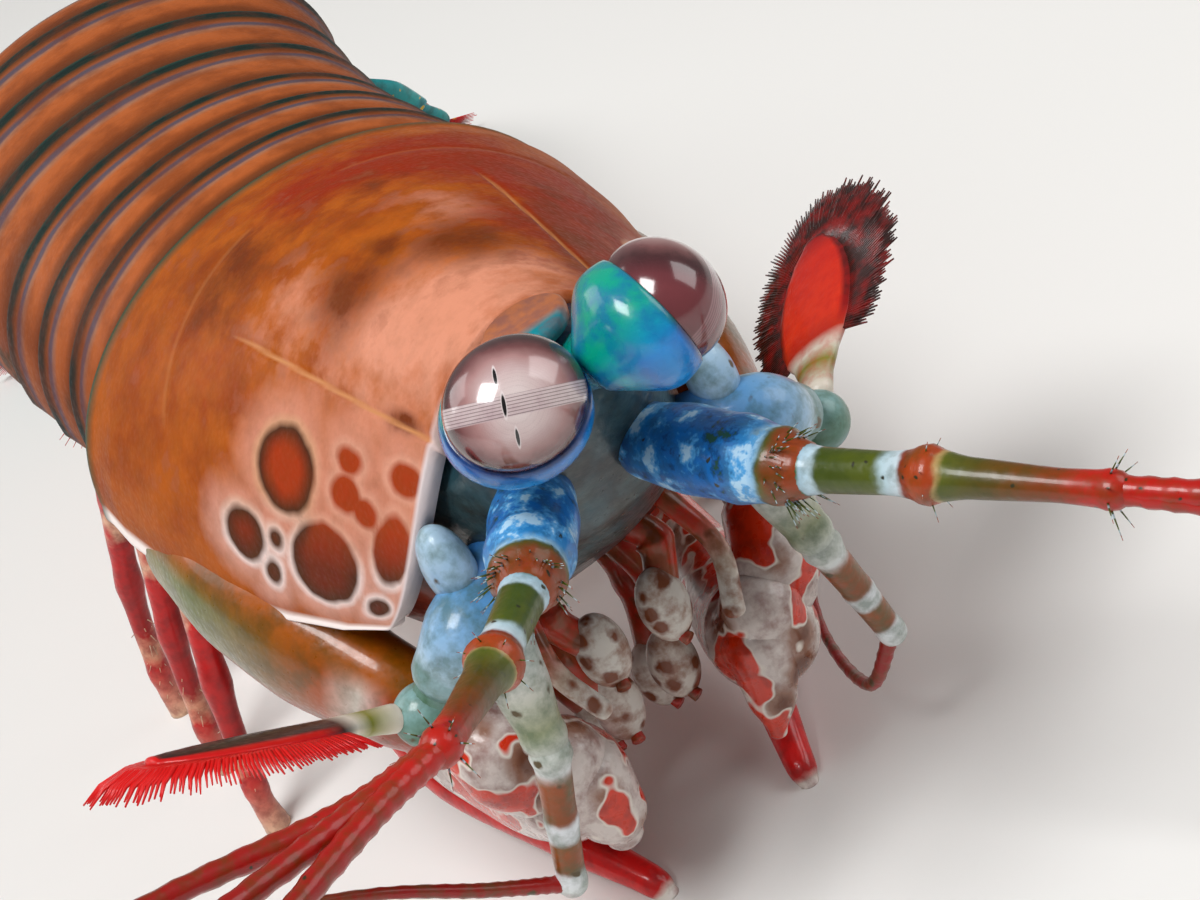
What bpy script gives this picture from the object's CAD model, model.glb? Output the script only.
import math
import random

import bmesh
import bpy
from mathutils import Matrix, Vector


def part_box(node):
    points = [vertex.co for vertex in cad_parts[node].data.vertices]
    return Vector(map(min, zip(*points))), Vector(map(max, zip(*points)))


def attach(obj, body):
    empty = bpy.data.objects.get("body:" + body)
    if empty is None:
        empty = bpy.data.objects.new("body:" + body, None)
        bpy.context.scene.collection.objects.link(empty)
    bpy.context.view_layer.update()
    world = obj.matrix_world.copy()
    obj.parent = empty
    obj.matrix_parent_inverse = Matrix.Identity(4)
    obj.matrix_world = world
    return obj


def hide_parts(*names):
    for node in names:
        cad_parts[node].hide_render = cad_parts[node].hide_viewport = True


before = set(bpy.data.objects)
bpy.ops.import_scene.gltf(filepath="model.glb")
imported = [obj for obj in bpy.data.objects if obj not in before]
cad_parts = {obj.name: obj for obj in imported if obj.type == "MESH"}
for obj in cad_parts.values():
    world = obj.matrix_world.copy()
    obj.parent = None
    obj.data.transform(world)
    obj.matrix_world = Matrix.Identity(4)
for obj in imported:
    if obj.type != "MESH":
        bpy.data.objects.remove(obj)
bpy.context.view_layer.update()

random.seed(11)

# Where the animal stands
# Body millimetres start just behind the front edge of the carapace, at the height of
# its rear edge. The carapace's own corner tells where that place lies in the room.
CARAPACE_HALF_WIDTH, CARAPACE_FRONT, CARAPACE_LENGTH = 16.8, -1.2, 31.8
FLOOR_DEPTH = 37
carapace_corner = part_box("carapace")[0]
place_in_room = Vector((carapace_corner[0] * 1000 + CARAPACE_HALF_WIDTH,
                        carapace_corner[1] * 1000 - CARAPACE_FRONT, FLOOR_DEPTH))
to_room = Matrix.Scale(0.001, 4) @ Matrix.Translation(place_in_room)

# Camera
# A short telephoto close above the head, turned about its own axis as the
# photograph was, so that the tail fills the upper left corner.
turn, tilt, roll = (math.radians(v) for v in (-17.1, 30.3, 27.1))
back = Vector((math.sin(turn) * math.cos(tilt), -math.cos(turn) * math.cos(tilt), math.sin(tilt)))
level = Vector((math.cos(turn), math.sin(turn), 0))
rise = back.cross(level)
right = level * math.cos(roll) - rise * math.sin(roll)
top = level * math.sin(roll) + rise * math.cos(roll)
lens = bpy.data.cameras.new("camera")
lens.lens = 66
lens.sensor_width = 36
lens.clip_start = 0.002


def new_object(name, data):
    thing = bpy.data.objects.new(name, data)
    bpy.context.collection.objects.link(thing)
    return thing


camera = new_object("camera", lens)
camera_spot = Matrix.Translation(to_room @ Vector((-24.6, -84.4, 43.2)))
camera.matrix_world = camera_spot @ Matrix((right, top, back)).transposed().to_4x4()
bpy.context.scene.camera = camera

# Floor and studio light
# A wide pale floor, a small soft lamp high in front of the head, wider and weaker ones
# to the right and behind, and an even pale room.


def paint(chip):
    """Linear colour of a paint chip written as six hex digits."""
    values = [int(chip[i:i + 2], 16) / 255 for i in (0, 2, 4)]
    return (*[v / 12.92 if v <= 0.04045 else ((v + 0.055) / 1.055) ** 2.4 for v in values], 1)


def feed(node, sockets):
    """Sets a node's inputs from other nodes' sockets, from values or from paint chips."""
    for key, value in sockets.items():
        if isinstance(value, bpy.types.NodeSocket):
            node.id_data.links.new(value, node.inputs[key])
        else:
            node.inputs[key].default_value = paint(value) if isinstance(value, str) else value


def new_material(name):
    material = bpy.data.materials.new(name)
    material.use_nodes = True
    return material, material.node_tree.nodes["Principled BSDF"]


floor_mesh = bpy.data.meshes.new("floor")
bm = bmesh.new()
bmesh.ops.create_grid(bm, x_segments=1, y_segments=1, size=1.5)
bm.to_mesh(floor_mesh)
bm.free()
floor = new_object("floor", floor_mesh)
floor_paint, shader = new_material("pale_floor")
feed(shader, {"Base Color": (0.78, 0.77, 0.75, 1), "Roughness": 0.7})
floor_mesh.materials.append(floor_paint)

for name, spot, aim, size, power in (
    ("key_lamp", (-0.2, -0.14, 0.48), (-0.005, -0.04, 0.02), 0.22, 2.5),
    ("side_lamp", (0.6, -0.25, 0.45), (0, 0, 0.02), 0.5, 2.2),
    ("rear_lamp", (-0.45, 0.55, 0.5), (0, 0.02, 0.02), 0.5, 1.8),
):
    lamp = bpy.data.lights.new(name, "AREA")
    lamp.energy = power
    lamp.size = size
    stand = new_object(name, lamp)
    stand.location = spot
    stand.rotation_euler = (Vector(spot) - Vector(aim)).to_track_quat("Z", "Y").to_euler()
room = bpy.data.worlds.new("room")
room.use_nodes = True
feed(room.node_tree.nodes["Background"], {"Color": (1, 0.98, 0.95, 1), "Strength": 0.23})
bpy.context.scene.world = room
bpy.context.scene.view_settings.view_transform = "Standard"

# Thorax and abdomen plates
# Nine hard arched plates of shell behind the carapace, each tucked under the one in
# front. Orange bands, a fine violet line and a dark blue-green rear margin on each.
PLATES = (("thorax_6", 5.6), ("thorax_7", 6.1), ("thorax_8", 6.6), ("abdomen_1", 10.4), ("abdomen_2", 10.8),
          ("abdomen_3", 11.2), ("abdomen_4", 11.6), ("abdomen_5", 12), ("abdomen_6", 10.5))
PLATE_GAP = 0.3
TAIL_TURN, TAIL_DIP = math.radians(14), math.radians(47)
TURN_RANGE, DIP_RANGE = (40, 84), (79, 110)
BACK_STEP, BACK_STEPS = 0.25, 500
TRUNK_WIDTH = ((33, 15), (50, 15.5), (62, 16.2), (84, 16.6), (100, 15.9), (116, 13.6))
TRUNK_ARCH = ((33, 11.6), (50, 11.4), (72, 11), (100, 9.8), (116, 7.4))
PLATE_SHAPE = ((-0.1, 0.93), (0, 0.96), (0.08, 0.975), (0.2, 0.985), (0.4, 0.994), (0.6, 1), (0.75, 1.006),
               (0.85, 1.011), (0.92, 1.014), (0.97, 1.013), (1, 1.006), (1.012, 0.992), (1, 0.965))
PLATE_KEELS, KEEL_HALF_WIDTH, KEEL_HEIGHT = (0.2, 0.5, 0.76), 0.035, 0.6
ARCH_STEPS, BELLY_STEPS, ARCH_BEND = 84, 12, 0.86
SPINED_PLATES, LAST_PLATE = (6, 7), 8
UP = Vector((0, 0, 1))


def eased(value, low, high):
    """0 to 1 as the value goes from low to high, slow at both ends."""
    share = min(max((value - low) / (high - low), 0), 1)
    return share * share * (3 - 2 * share)


def measure(pairs, place):
    """The value at a place, on straight lines through (place, value) pairs."""
    if place <= pairs[0][0]:
        return pairs[0][1]
    for (start, before), (end, after) in zip(pairs, pairs[1:]):
        if place <= end:
            return before + (after - before) * (place - start) / (end - start)
    return pairs[-1][1]


def body_way(place):
    """How far the body is turned at a place, and its way back."""
    yaw = TAIL_TURN * eased(place, *TURN_RANGE)
    pitch = TAIL_DIP * eased(place, *DIP_RANGE)
    return yaw, Vector((math.sin(yaw) * math.cos(pitch), math.cos(yaw) * math.cos(pitch), -math.sin(pitch)))


back_line = [Vector((0, CARAPACE_LENGTH, 0))]
for step in range(BACK_STEPS):
    way = body_way(CARAPACE_LENGTH + (step + 0.5) * BACK_STEP)[1]
    back_line.append(back_line[-1] + way * BACK_STEP)


def body_frame(place):
    """A point on the body's midline, and the ways to its side, up and back."""
    reach = max(place - CARAPACE_LENGTH, 0) / BACK_STEP
    step = min(int(reach), len(back_line) - 2)
    at = back_line[step].lerp(back_line[step + 1], reach - step)
    if place < CARAPACE_LENGTH:
        at = Vector((0, place, 0))
    yaw, behind = body_way(place)
    side = Vector((math.cos(yaw), -math.sin(yaw), 0))
    return at, side, side.cross(behind).normalized(), behind


def on_body(place, across, above):
    at, side, up, _ = body_frame(place)
    return at + side * across + up * above


def new_form():
    bm = bmesh.new()
    bm.verts.layers.float_vector.new("guide")
    return bm


def skin_rings(bm, rings):
    """Closed skin over rings of (point, guide) pairs, each ring made from a circle."""
    guide = bm.verts.layers.float_vector["guide"]
    edges = []
    for ring in rings:
        verts = bmesh.ops.create_circle(bm, segments=len(ring), radius=1)["verts"]
        edges.append(list(dict.fromkeys(edge for vert in verts for edge in vert.link_edges)))
        for vert, (point, value) in zip(verts, ring):
            vert.co = point
            vert[guide] = value
    for one, other in zip(edges, edges[1:]):
        bmesh.ops.bridge_loops(bm, edges=one + other)
    for end in (edges[0], edges[-1]):
        bmesh.ops.edgeloop_fill(bm, edges=end)


def finish_piece(bm, node, word, material, name=None, closed=True):
    """The form becomes a smooth piece in the room, with its finish, in place of a node."""
    if closed:
        bmesh.ops.recalc_face_normals(bm, faces=bm.faces)
    bmesh.ops.transform(bm, matrix=to_room, verts=bm.verts)
    name = name or f"{node}_{word}"
    mesh = bpy.data.meshes.new(name)
    bm.to_mesh(mesh)
    bm.free()
    mesh.polygons.foreach_set("use_smooth", [True] * len(mesh.polygons))
    mesh.materials.append(material)
    piece = new_object(name, mesh)
    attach(piece, "root")
    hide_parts(node)
    return piece


def spine(bm, root, way, length, wide, thick=None, face=UP, sides=6, sink=0.4, guide_value=(1, 0, 0)):
    """A tapering spine, or a flat vane where it is thinner than wide."""
    guide = bm.verts.layers.float_vector["guide"]
    forward = Vector(way).normalized()
    across = forward.cross(face).normalized()
    lift = across.cross(forward)
    flat = (thick or wide) / wide
    made = bmesh.ops.create_cone(bm, cap_ends=True, segments=sides, radius1=wide, radius2=wide / 4,
                                 depth=length + sink)["verts"]
    for vert in made:
        reach = vert.co.z + (length + sink) / 2 - sink
        vert.co = root + forward * reach + across * vert.co.x + lift * vert.co.y * flat
        vert[guide] = (guide_value[0] + max(reach, 0) / length, guide_value[1], guide_value[2])


def add(kind, sockets, tree=None, **settings):
    """One node with its settings and inputs, in the tree that its inputs come from."""
    tree = tree or next(value.id_data for value in sockets.values() if isinstance(value, bpy.types.NodeSocket))
    node = tree.nodes.new(kind)
    for key, value in settings.items():
        setattr(node, key, value)
    feed(node, sockets)
    return node


def maths(operation, *values):
    return add("ShaderNodeMath", dict(enumerate(values)), operation=operation).outputs[0]


def noise(point, scale, detail, roughness=0.5):
    sockets = {"Vector": point, "Scale": scale, "Detail": detail, "Roughness": roughness}
    return add("ShaderNodeTexNoise", sockets).outputs["Fac"]


def between(value, low, high, start=0, end=1):
    """Goes from start to end as the value goes from low to high."""
    sockets = {"Value": value, "From Min": low, "From Max": high, "To Min": start, "To Max": end}
    return add("ShaderNodeMapRange", sockets).outputs[0]


def wavering(value, cloud, reach):
    """A value shifted up and down by a cloud."""
    return maths("ADD", value, between(cloud, 0, 1, -reach, reach))


def over(mask, below, above):
    return add("ShaderNodeMix", {0: mask, 6: below, 7: above}, data_type="RGBA").outputs[2]


def colour_steps(factor, steps, span=1):
    """Colours that follow a factor, written as places and paint chips."""
    ramp = add("ShaderNodeValToRGB", {"Fac": factor})
    elements = ramp.color_ramp.elements
    pairs = [step.split() for step in steps.split(",")]
    while len(elements) < len(pairs):
        elements.new(0.5)
    for element, (spot, _) in zip(elements, pairs):
        element.position = float(spot) / span
    for element, (_, chip) in zip(elements, pairs):
        element.color = paint(chip)
    return ramp.outputs["Color"]


def new_effect(name, takes, gives):
    """An empty node group with named inputs and outputs, and its two ends."""
    group = bpy.data.node_groups.new(name, "ShaderNodeTree")
    for way, sockets in (("INPUT", takes), ("OUTPUT", gives)):
        for label, kind in sockets.items():
            group.interface.new_socket(label, in_out=way, socket_type=f"NodeSocket{kind}")
    return group, group.nodes.new("NodeGroupInput").outputs, group.nodes.new("NodeGroupOutput")


# Soft-edged blotches of a second pigment under the shell
mottling, given, result = new_effect(
    "mottling", {"Colour": "Color", "Pigment": "Color", "Point": "Vector", "Size": "Float", "Amount": "Float"},
    {"Colour": "Color"})
cloud = noise(given["Point"], maths("DIVIDE", 1, given["Size"]), 4, 0.6)
part = maths("MULTIPLY", between(cloud, 0.42, 0.64), given["Amount"])
feed(result, {"Colour": over(part, given["Colour"], given["Pigment"])})

# Fine pits of living shell, as a height
pitted, given, result = new_effect("pitted", {"Point": "Vector", "Size": "Float"}, {"Height": "Float"})
per_mm = maths("DIVIDE", 1, given["Size"])
pits = add("ShaderNodeTexVoronoi", {"Vector": given["Point"], "Scale": per_mm}, feature="SMOOTH_F1")
feed(result, {"Height": maths("ADD", pits.outputs["Distance"], noise(given["Point"], per_mm, 3))})

# Round dots of pigment with a soft edge, as a mask
dotted, given, result = new_effect(
    "dotted", {"Point": "Vector", "Spacing": "Float", "Width": "Float"}, {"Mask": "Float"})
warp = add("ShaderNodeTexNoise", {"Vector": given["Point"], "Scale": 1.3, "Detail": 2}).outputs["Color"]
bent = add("ShaderNodeVectorMath", {0: warp, 1: (0.7, 0.7, 0.7), 2: given["Point"]}, operation="MULTIPLY_ADD")
cells = add("ShaderNodeTexVoronoi", {"Vector": bent.outputs[0], "Scale": maths("DIVIDE", 1, given["Spacing"]),
                                     "Randomness": 0.9})
edge = maths("MULTIPLY", given["Width"], 0.6)
feed(result, {"Mask": between(cells.outputs["Distance"], given["Width"], edge)})


def use(effect, **sockets):
    """Places an effect in a material with its own values."""
    return add("ShaderNodeGroup", sockets, node_tree=effect).outputs[0]


def mottled(point, colour, pigment, size, amount):
    return use(mottling, Colour=colour, Pigment=pigment, Point=point, Size=size, Amount=amount)


def own_values(material, name):
    """A vector of a piece's own, whole and in its three parts."""
    values = add("ShaderNodeAttribute", {}, material.node_tree, attribute_name=name).outputs["Vector"]
    return values, add("ShaderNodeSeparateXYZ", {0: values}).outputs


def wet_shell(name, roughness=0.34, coat=0.25, pit_size=0.35, pit_depth=0.12, shine=0.3):
    """A pigmented shell: returns the material, its shader, millimetre points and guide."""
    material, shader = new_material(name)
    room_point = add("ShaderNodeTexCoord", {}, material.node_tree).outputs["Object"]
    point = add("ShaderNodeVectorMath", {0: room_point, "Scale": 1000}, operation="SCALE").outputs[0]
    height = use(pitted, Point=point, Size=pit_size)
    bump = add("ShaderNodeBump", {"Height": height, "Strength": pit_depth, "Distance": 0.0002})
    feed(shader, {"Coat Weight": coat, "Coat Roughness": 0.12, "Specular IOR Level": shine,
                  "Normal": bump.outputs["Normal"],
                  "Roughness": between(height, 0.3, 1.2, roughness - 0.08, roughness + 0.12)})
    return material, shader, point, own_values(material, "guide")[1]


def banded(name, steps, span=1, pigment="5a2000", size=0.9, amount=0.5, waver=0.05, dots=None, patches=(),
           **shell):
    """A shell whose colours change from root to tip, over a span of the guide."""
    material, shader, point, axes = wet_shell(name, **shell)
    share = maths("DIVIDE", wavering(axes["X"], noise(point, 0.9, 3), waver), span)
    colour = mottled(point, colour_steps(share, steps, span), pigment, size, amount)
    if dots:
        spacing, width, chip = dots
        colour = over(use(dotted, Point=point, Spacing=spacing, Width=width), colour, chip)
    if patches:
        cloud = noise(point, 0.62, 4, 0.65)
    for low, high, chip in patches:
        at_root = between(axes["X"], 0.88, 0.8)
        colour = over(maths("MULTIPLY", between(cloud, low, high), at_root), colour, chip)
    feed(shader, {"Base Color": colour})
    return material


plate_finish, shader, point, axes = wet_shell("orange_plate", roughness=0.5, coat=0.02, shine=0.1)
streaks = add("ShaderNodeVectorMath", {0: point, 1: (0.18, 0.9, 0.5)}, operation="MULTIPLY").outputs[0]
share = wavering(axes["X"], noise(streaks, 0.9, 5), 0.05)
crown = colour_steps(share, "0 2c1e14, 0.08 54301c, 0.2 743a18, 0.32 a25224, 0.5 a8582a, 0.59 96664c, 0.63 5a4850, "
                            "0.68 504650, 0.72 864624, 0.78 663410, 0.83 16261f, 0.92 0b201e, 0.96 17362e, 1 463a28")
flank = colour_steps(share, "0 2a1810, 0.2 6c3016, 0.5 8e481e, 0.62 5a4048, 0.68 4e3a46, 0.73 6c3214, 0.82 141f1c, "
                            "0.94 0a1c1b, 1 40342a")
colour = over(between(axes["Z"], 0.75, 0.25), crown, flank)
colour = mottled(point, colour, "62290a", 3.2, 0.5)
spots = use(dotted, Point=point, Spacing=3.4, Width=0.36)
colour = over(maths("MULTIPLY", spots, between(axes["Z"], 0.45, 0.2)), colour, "492604")
colour = over(between(axes["Z"], 0.02, -0.05), colour, "b28e74")
feed(shader, {"Base Color": colour})


def plate_ring(place, swell, share, keels=0):
    wide = measure(TRUNK_WIDTH, place) * swell
    arch = measure(TRUNK_ARCH, place)
    lift = (swell - 1) * 10
    ring = []
    for i in range(ARCH_STEPS + 1):
        angle = math.pi * i / ARCH_STEPS
        across = math.cos(angle)
        fall = 1 - max(0, math.sin(angle)) ** ARCH_BEND
        ridge = sum(math.exp(-((abs(across) - spot) / KEEL_HALF_WIDTH) ** 2) for spot in PLATE_KEELS)
        above = lift + ridge * KEEL_HEIGHT * keels - arch * fall
        ring.append((on_body(place, wide * across, above), (share, across, 1 - fall)))
    for i in range(1, BELLY_STEPS):
        across = -1 + 2 * i / BELLY_STEPS
        above = lift - arch + 0.4 + 0.8 * (1 - abs(across))
        ring.append((on_body(place, wide * across, above), (share, across, -0.2)))
    return ring


place = CARAPACE_LENGTH + PLATE_GAP
plate_ends = []
for number, (node, length) in enumerate(PLATES):
    start, end = place, place + length - PLATE_GAP
    plate_ends.append((start, end))
    bm = new_form()
    keels = eased(number, 7, LAST_PLATE)
    skin_rings(bm, [plate_ring(start + (end - start) * share, swell, share, keels * eased(share, 0.1, 0.4))
                    for share, swell in PLATE_SHAPE])
    _, side, up, behind = body_frame(end)
    wide, arch = measure(TRUNK_WIDTH, end), measure(TRUNK_ARCH, end)
    for sign in (-1, 1):
        if number in SPINED_PLATES:
            spine(bm, on_body(end - 2.4, sign * (wide - 0.7), 0.5 - arch), behind, 3.2, 0.6, face=up, sink=3,
                  guide_value=(0, 1, 0.3))
        if number == LAST_PLATE:
            for across, above, reach in ((0.2, 0, 3.8), (0.5, -0.14 * arch, 3.8), (0.76, -0.36 * arch, 3)):
                spine(bm, on_body(end - 2.4, sign * wide * across, above), behind, reach, 0.55, face=up, sink=3,
                      guide_value=(0, 1, 0.9))
    finish_piece(bm, node, "plate", plate_finish)
    place += length
telson_start = place

# Telson
# The last plate, a broad blue-green shield with keels. Its rear edge carries blunt
# teeth and rests on the floor.
TELSON_LENGTH, TELSON_END, TELSON_STEPS = 21, 0.985, 37
TELSON_SHAPE = ((0, 11.6, -2.6, 3.6), (0.12, 13.4, -2.2, 4), (0.45, 13.8, -2.4, 3.6), (0.72, 11.8, -3, 2.6),
                (0.9, 8.2, -3.9, 1.6), (0.97, 5.2, -4.4, 1.1), (TELSON_END, 4, -4.5, 0.8))
TELSON_KEELS = ((0, 0.9, 1.3), (3.4, 0.5, 0.7), (6.8, 0.5, 0.8), (10, 0.5, 0.8))
TELSON_TEETH = ((0.9, 3.2, -4.2, 3), (0.84, 7.6, -3.9, 2.8), (0.66, 11.6, -3.5, 2.4))


def measures(rows, place):
    """Each column's value at a place, for rows that begin with their places."""
    return [measure([(row[0], row[column]) for row in rows], place) for column in range(1, len(rows[0]))]


def circle(count, shift=0):
    """Cosine and sine at even steps around a circle."""
    angles = [2 * math.pi * (i + shift) / count for i in range(count)]
    return [(math.cos(angle), math.sin(angle)) for angle in angles]


bm = new_form()
rings = []
for step in range(TELSON_STEPS):
    share = TELSON_END * step / (TELSON_STEPS - 1)
    wide, height, thick = measures(TELSON_SHAPE, share)
    ring = []
    for c, lift in circle(120):
        across = wide * c
        above = height - thick * 0.3 + (thick * 0.3 + 1 if lift > 0 else thick * 0.7) * lift
        ridge = sum(high * math.exp(-((abs(across) - keel * (1 - 0.25 * share)) / half) ** 2)
                    for keel, half, high in TELSON_KEELS) * eased(share, 0.08, 0.25) * eased(share, 0.95, 0.7)
        above += ridge * max(lift, 0)
        ring.append((on_body(telson_start + TELSON_LENGTH * share, across, above), (share, across / 14, lift)))
    rings.append(ring)
skin_rings(bm, rings)
_, side, up, behind = body_frame(telson_start + TELSON_LENGTH * 0.8)
for sign in (-1, 1):
    for share, across, above, reach in TELSON_TEETH:
        root = on_body(telson_start + TELSON_LENGTH * share, sign * across, above)
        spine(bm, root, behind + side * sign * across * 0.03, reach, 0.9, thick=0.7, face=up, sides=8, sink=1.2,
              guide_value=(1, 0, 1))
telson_finish = banded(
    "blue_green_tail_shell", "0 00575b, 0.3 007b75, 0.6 188c5f, 0.85 006676, 1 00858a, 1.3 c43b00, 1.9 e07200", span=2,
    pigment="003831", size=2.4, amount=0.8, dots=(2.6, 0.22, "c59700"))
finish_piece(bm, "telson", "shield", telson_finish)

# Uropods
# A stout jointed base on each side of the last plate carries an outer paddle with
# movable red spines, its soft fan and a narrow inner paddle, all fringed with hair.
SIDES = (("L", 1), ("R", -1))
DOME = (0.35, 0.7, 1.05, 1.4)


def limb_form(bm, stations, sides=16, rings=20, up=UP, domed=True, start=0, end=1, bumps=()):
    """A limb through (x, y, z, half wide, half high) stations; round ones have one half."""
    points = [Vector(row[:3]) for row in stations]
    last = len(points) - 1

    def on_curve(t):
        along = min(max(t, 0), 1) * last
        k = min(int(along), last - 1)
        f = along - k
        before = points[k - 1] if k > 0 else points[0] * 2 - points[1]
        after = points[k + 2] if k + 2 <= last else points[last] * 2 - points[last - 1]
        a, b = points[k], points[k + 1]
        spot = 0.5 * (2 * a + (b - before) * f + (2 * before - 5 * a + 4 * b - after) * f * f
                      + (3 * a - before - 3 * b + after) * f ** 3)
        g = f * f * (3 - 2 * f) * 0.6 + f * 0.4
        wide, high = (stations[k][column] * (1 - g) + stations[k + 1][column] * g for column in (3, -1))
        return spot, wide, high

    def section(spot, forward, wide, high, value):
        across = forward.cross(up).normalized()
        lift = across.cross(forward).normalized()
        return [(spot + across * c * wide + lift * s * high, (value, c, s)) for c, s in circle(sides, 0.5)]

    made = []
    for i in range(rings):
        t = i / (rings - 1)
        spot, wide, high = on_curve(t)
        swell = 1 + sum(size * math.exp(-((t - where) / reach) ** 2) for where, reach, size in bumps)
        wide, high = wide * swell, high * swell
        forward = (on_curve(t + 0.01)[0] - on_curve(t - 0.01)[0]).normalized()
        reach = min(wide, high) * 0.85
        turns = [0]
        if domed and i == 0:
            turns = [-turned for turned in reversed(DOME)] + turns
        if domed and i == rings - 1:
            turns = turns + list(DOME)
        for turned in turns:
            made.append(section(spot + forward * reach * math.sin(turned), forward, wide * math.cos(turned),
                                high * math.cos(turned), start + (end - start) * t))
    skin_rings(bm, made)


def stand_on_floor(bm):
    """Nothing of the form goes through the floor."""
    for vert in bm.verts:
        vert.co.z = max(vert.co.z, -FLOOR_DEPTH)


uropod_finish = banded("paddle_shell", "0 007a82, 0.5 009b9b, 0.9 0066b1, 1.1 cb0000, 2 db0000", span=2,
                       pigment="00423b", size=1.6, amount=0.6, dots=(1.8, 0.2, "dbac00"))
uropod_start = telson_start - 5
_, side, up, behind = body_frame(uropod_start + 10)
for side_name, sign in SIDES:
    bm = new_form()
    for end, *rows in ((1, (0, 12.2, -5.6, 2, 1.4), (5, 14.4, -6.6, 2.3, 1.3), (8.5, 15.4, -7.2, 1.9, 1.2)),
                       (0.6, (8, 16.2, -7.2, 2, 0.9), (12, 18.4, -7.6, 3, 0.9), (16.5, 20, -8, 3, 0.8)),
                       (1, (16.6, 20, -8, 2.6, 0.6), (20.5, 21, -8.2, 3.3, 0.55), (24.5, 21.2, -8.4, 2, 0.45)),
                       (1, (8, 15.2, -8.2, 1.2, 0.7), (13, 15.2, -8.8, 2.1, 0.6), (19, 15.2, -9.1, 1.5, 0.5))):
        limb_form(bm, [(*on_body(uropod_start + along, sign * across, above), wide, high)
                       for along, across, above, wide, high in rows], up=up, end=end)
    out = side * sign
    for i in range(7):
        along = 9.8 + i * 1.16
        root = on_body(uropod_start + along, sign * measure(((9, 18.6), (13, 21.2), (17.5, 22.6)), along), -7.5)
        spine(bm, root, behind + out * (0.55 - 0.04 * i), 2.2 + 0.12 * i, 0.38, face=up, sink=0.8)
    for center, reach_out, reach_back, height, low, high, count, length in (
            ((20.6, 21), 2.8, 3.6, -8.3, 5, 160, 60, 3.2), ((14.4, 15.2), 1.6, 4.4, -8.9, 20, 100, 26, 2.4)):
        for i in range(count):
            angle = math.radians(low + (high - low) * i / (count - 1))
            c, s = math.cos(angle), math.sin(angle)
            root = on_body(uropod_start + center[0] + reach_back * s, sign * (center[1] + reach_out * c), height)
            spine(bm, root, behind * (s + 0.35) + out * c, length * random.uniform(0.85, 1.1), 0.13, face=up,
                  sides=4, sink=0.7)
    stand_on_floor(bm)
    finish_piece(bm, f"uropod_{side_name}", "paddles", uropod_finish)

# Pleopods
# Five pairs of soft red swimming paddles under the abdomen, edged with hair, with
# tufts of thread-like gills at their roots.
PLEOPOD_LENGTH, HAIRS, GILLS = 12.5, 22, 9
paddle_finish = banded("red_swimmeret", "0 8b1e00, 0.6 ba1d00, 1 cb0000, 2 da2b00", span=2, pigment="5b0000",
                       size=1.2, amount=0.6, coat=0.3)
for number in range(1, 6):
    start, end = plate_ends[number + 2]
    middle = (start + end) / 2 - 0.5
    _, side, up, behind = body_frame(middle)
    swing = math.radians(30 + 7 * (number - 1))
    fall = -up * math.cos(swing) + behind * math.sin(swing)
    facing = fall.cross(side).normalized()
    for side_name, sign in SIDES:
        root = on_body(middle, sign * 6.6, 1.2 - measure(TRUNK_ARCH, middle))
        away = side * sign
        bm = new_form()
        for rings, *rows in (
                (9, (0, 0, 2.4, 1.3), (2.6, 0.3, 2.7, 1.2), (4.8, 0.4, 2.2, 0.8)),
                (12, (3.4, 2, 1.6, 0.6), (7.5, 3.8, 2.9, 0.5), (PLEOPOD_LENGTH, 4.4, 1.5, 0.35)),
                (12, (3.4, -1.4, 1.4, 0.6), (7.2, -2.4, 2.2, 0.5), (PLEOPOD_LENGTH - 0.8, -2.9, 1.1, 0.35))):
            limb_form(bm, [(*(root + fall * reach + away * across), wide, thick)
                           for reach, across, wide, thick in rows], up=facing, rings=rings)
        for center, half in (((8.2, 3.9), (3, 4.6)), ((7.6, -2.5), (2.3, 4.6))):
            for i in range(HAIRS):
                angle = math.radians(-80 + 160 * i / (HAIRS - 1))
                c, s = math.cos(angle), math.sin(angle)
                hair_root = root + fall * (center[0] + half[1] * c) + away * (center[1] + half[0] * s)
                spine(bm, hair_root, fall * (c + 0.5) + away * s, 2.4 * random.uniform(0.8, 1.1), 0.11, face=facing,
                      sides=4, sink=0.7)
        for i in range(GILLS):
            gill_root = root + fall * (3.6 + 0.35 * i) + away * (2 + 0.2 * i)
            spine(bm, gill_root, facing + away * random.uniform(-0.3, 0.7) + fall * random.uniform(0.1, 0.9),
                  random.uniform(1.8, 2.8), 0.16, face=fall, sides=4, sink=0.4)
        finish_piece(bm, f"pleopod_{number}_{side_name}", "paddle", paddle_finish)

# Walking legs
# Three pairs of thin red legs behind the claws, each with a slender side branch and a
# small soft pad on the floor.
LEG_REACH, LEG_HAIRS = 18.5, 22
leg_finish = banded("red_leg", "0 a93e00, 0.2 c30000, 0.42 b30000, 0.46 d9a98a, 0.5 bb0000, 0.7 a30000, 0.74 d69979, "
                    "0.78 bb0000, 1 d8b293", pigment="6c0000", size=0.8, amount=0.5, coat=0.35)


def mirrored(sign, *rows):
    """Rows of a left part, kept for the left side and turned over for the right."""
    return [(sign * row[0], *row[1:]) for row in rows]


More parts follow.
